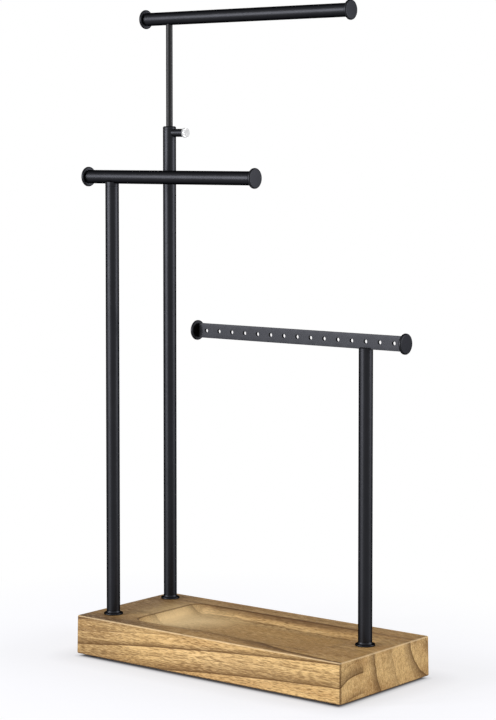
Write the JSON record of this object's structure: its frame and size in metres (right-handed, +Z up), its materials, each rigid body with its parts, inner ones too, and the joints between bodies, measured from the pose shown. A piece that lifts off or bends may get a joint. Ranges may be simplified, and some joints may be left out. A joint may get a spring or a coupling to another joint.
{
  "type": "jewelry stand",
  "caption": "Jewelry stand: a wood block with a routed tray, tube posts that carry a height-adjustable top bar, a lower bar and a perforated earring strip.",
  "frame": {"origin": "on the surface the stand rests on, under the middle of the wood block", "axes": "+X along the block's long side, towards the earring post; +Y to the back, where the tall post stands; +Z up"},
  "size_m": [0.2766, 0.11, 0.4955],
  "materials": {
    "wood": "satin oiled, straight lengthwise grain",
    "black_metal": "satin black coating",
    "bright_steel": "bright plated, knurled",
    "screw_steel": "zinc plated",
    "guide_plastic": "plain moulded",
    "pad_rubber": "matte"
  },
  "bodies": {
    "root": {"wood_base": "wood", "front_left_foot": "pad_rubber", "back_left_foot": "pad_rubber", "front_right_foot": "pad_rubber", "back_right_foot": "pad_rubber", "tall_post_tube": "black_metal", "tall_post_foot": "black_metal", "tall_post_screw": "screw_steel", "tall_post_washer": "screw_steel", "middle_post_tube": "black_metal", "middle_post_foot": "black_metal", "middle_post_screw": "screw_steel", "middle_post_washer": "screw_steel", "earring_post_tube": "black_metal", "earring_post_foot": "black_metal", "earring_post_screw": "screw_steel", "earring_post_washer": "screw_steel", "tall_post_guide": "black_metal", "clamp_boss": "black_metal", "middle_bar": "black_metal", "middle_bar_left_cap": "black_metal", "middle_bar_right_cap": "black_metal", "middle_post_saddle": "black_metal", "earring_strip": "black_metal", "earring_left_disc": "black_metal", "earring_right_disc": "black_metal", "earring_post_cap": "black_metal"},
    "rod_guide": {"rod_guide_bush": "guide_plastic"},
    "extension": {"extension_rod": "black_metal", "rod_end_screw": "screw_steel", "top_bar": "black_metal", "top_bar_left_cap": "black_metal", "top_bar_right_cap": "black_metal"},
    "clamp_tip": {"thumb_screw_tip": "guide_plastic"},
    "thumb_screw": {"thumb_screw": "bright_steel"}
  },
  "joints": [
    {"name": "height_slide", "type": "slide", "parent": "root", "child": "rod_guide", "axis": [0, 0, 1], "range_m": [-0.0784, 0.0395]},
    {"name": "top_bar_turn", "type": "hinge", "parent": "rod_guide", "child": "extension", "pos_m": [-0.1104, 0.038, 0.3374], "axis": [0, 0, 1], "continuous": true},
    {"name": "clamp_tip_slide", "type": "slide", "parent": "root", "child": "clamp_tip", "axis": [1, 0, 0], "range_m": [0, 0.002]},
    {"name": "thumb_screw_turn", "type": "hinge", "parent": "clamp_tip", "child": "thumb_screw", "pos_m": [-0.1104, 0.038, 0.3988], "axis": [1, 0, 0], "range_deg": [0, 1440]}
  ],
  "couplings": [
    {"joint": "thumb_screw_turn", "follows": "clamp_tip_slide", "rad_per_m": 12566}
  ]
}
